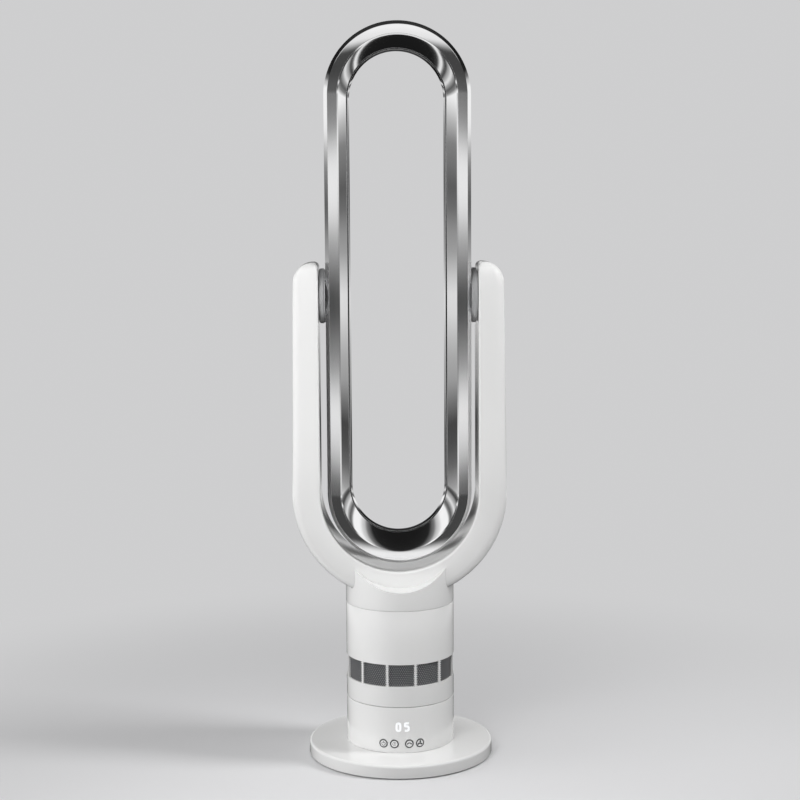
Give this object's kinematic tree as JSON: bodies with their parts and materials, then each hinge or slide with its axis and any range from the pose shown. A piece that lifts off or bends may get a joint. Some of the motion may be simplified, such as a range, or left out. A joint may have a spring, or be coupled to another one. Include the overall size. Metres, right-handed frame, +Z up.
{
  "type": "bladeless fan",
  "caption": "Bladeless tower fan: a hollow stadium-shaped air loop that tilts in a U-shaped yoke on a swivelling round intake body, over a control collar and a weighted disc base.",
  "frame": {"origin": "middle of the round foot, on the floor", "axes": "+Z up, -Y out of the front with the buttons and display, +X to the viewer's right"},
  "size_m": [0.266, 0.232, 0.9129],
  "materials": {
    "gloss_white": "glossy white moulding",
    "display_white": "glowing white digits, lit from behind",
    "satin_silver": "silver-plated moulding",
    "hub_grey": "satin grey, metallic paint",
    "dark_screen": "matte, finely perforated",
    "rubber": "matte",
    "steel": "plain rolled or turned steel",
    "grey_plastic": "moulded, matte",
    "slip_plastic": "natural low-friction plastic",
    "board": "green solder mask",
    "brass": "machined"
  },
  "bodies": {
    "base": {"foot_ring": "rubber", "ballast_plate": "steel", "base_cover": "gloss_white", "base_screw_1": "steel", "base_screw_2": "steel", "base_screw_3": "steel", "collar_shell": "gloss_white", "bearing_plate": "grey_plastic", "plate_screw_1": "steel", "plate_screw_2": "steel", "plate_screw_3": "steel", "glide_ring": "slip_plastic", "stepper_motor": "steel", "chassis": "grey_plastic", "power_board": "board", "control_board": "board", "display_module": "display_white", "power_inlet": "grey_plastic"},
    "head": {"turntable": "grey_plastic", "swivel_gear": "slip_plastic", "spindle_clip": "steel", "intake_shell": "gloss_white", "intake_screen": "dark_screen", "inlet_funnel": "grey_plastic", "diffuser_housing": "grey_plastic", "fan_motor": "steel", "motor_cap": "grey_plastic", "neck_shell": "gloss_white", "yoke_front": "gloss_white", "yoke_rear": "gloss_white", "pivot_bush_left": "slip_plastic", "pivot_bush_right": "slip_plastic"},
    "rotor": {"motor_shaft": "steel", "impeller": "slip_plastic"},
    "loop": {"loop_front": "satin_silver", "loop_rear": "satin_silver", "hub_left": "hub_grey", "hub_right": "hub_grey", "hub_clip_left": "steel", "hub_clip_right": "steel", "port_seal_left": "rubber", "port_seal_right": "rubber"},
    "pinion": {"stepper_shaft": "steel", "drive_pinion": "brass"},
    "power_key": {"power_button": "gloss_white"},
    "timer_key": {"timer_button": "gloss_white"},
    "swing_key": {"swing_button": "gloss_white"},
    "speed_key": {"speed_button": "gloss_white"}
  },
  "joints": [
    {"name": "swivel", "type": "hinge", "parent": "base", "child": "head", "pos_m": [0, 0, 0.0754], "axis": [0, 0, 1], "range_deg": [-40, 40]},
    {"name": "pinion_spin", "type": "hinge", "parent": "base", "child": "pinion", "pos_m": [0.0444, 0, 0.061], "axis": [0, 0, 1], "range_deg": [-200, 200]},
    {"name": "loop_tilt", "type": "hinge", "parent": "head", "child": "loop", "pos_m": [0, 0, 0.5812], "axis": [1, 0, 0], "range_deg": [-20, 20]},
    {"name": "impeller_spin", "type": "hinge", "parent": "head", "child": "rotor", "pos_m": [0, 0, 0.1527], "axis": [0, 0, 1], "continuous": true},
    {"name": "power_press", "type": "slide", "parent": "base", "child": "power_key", "axis": [0.3304, 0.9438, 0], "range_m": [0, 0.0008], "stiffness_N_per_m": 400, "springref_m": -0.001},
    {"name": "timer_press", "type": "slide", "parent": "base", "child": "timer_key", "axis": [0.132, 0.9913, 0], "range_m": [0, 0.0008], "stiffness_N_per_m": 400, "springref_m": -0.001},
    {"name": "swing_press", "type": "slide", "parent": "base", "child": "swing_key", "axis": [-0.132, 0.9913, 0], "range_m": [0, 0.0008], "stiffness_N_per_m": 400, "springref_m": -0.001},
    {"name": "speed_press", "type": "slide", "parent": "base", "child": "speed_key", "axis": [-0.3304, 0.9438, 0], "range_m": [0, 0.0008], "stiffness_N_per_m": 400, "springref_m": -0.001}
  ],
  "couplings": [
    {"joint": "pinion_spin", "follows": "swivel", "ratio": -4.9}
  ]
}
